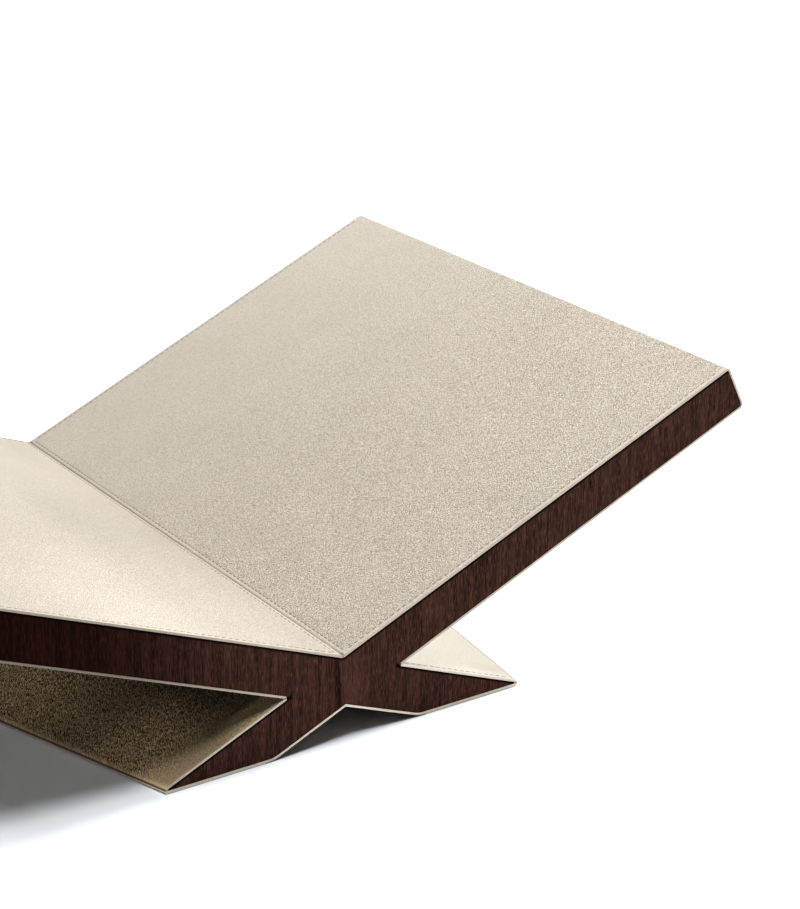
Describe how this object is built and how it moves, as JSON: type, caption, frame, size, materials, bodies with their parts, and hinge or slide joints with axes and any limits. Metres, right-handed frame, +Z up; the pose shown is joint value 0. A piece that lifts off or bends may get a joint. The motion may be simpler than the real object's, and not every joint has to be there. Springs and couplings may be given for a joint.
{
  "type": "book stand",
  "caption": "Display stand for a large open book: crossing leather-clad boards form a wide V cradle on splayed feet, with dark wood end faces and a valley that climbs to the back.",
  "frame": {"origin": "on the table, under the middle of the stand's bounding box", "axes": "+Z up, +Y along the valley from the lower front face to the raised back face, +X to the right wing"},
  "size_m": [0.5192, 0.407, 0.1812],
  "materials": {
    "core_wood": "bare joinery timber, hidden",
    "dowel_wood": "bare beech, hidden",
    "facing_wood": "dark rosewood-like facing, fine straight grain, satin",
    "cover_leather": "cream, finely pebbled, soft satin",
    "sole_leather": "sand, thicker and plainer, matt"
  },
  "bodies": {
    "root": {"through_board": "core_wood", "left_wing_board": "core_wood", "right_leg_board": "core_wood", "dowel_front": "dowel_wood", "dowel_mid_front": "dowel_wood", "dowel_mid_back": "dowel_wood", "dowel_back": "dowel_wood", "front_facing_right": "facing_wood", "front_facing_left": "facing_wood", "back_facing_right": "facing_wood", "back_facing_left": "facing_wood", "wing_cover_right": "cover_leather", "wing_cover_left": "cover_leather", "leg_cover_right": "cover_leather", "leg_cover_left": "cover_leather", "belly_cover": "cover_leather", "sole_right": "sole_leather", "sole_left": "sole_leather"}
  },
  "joints": []
}
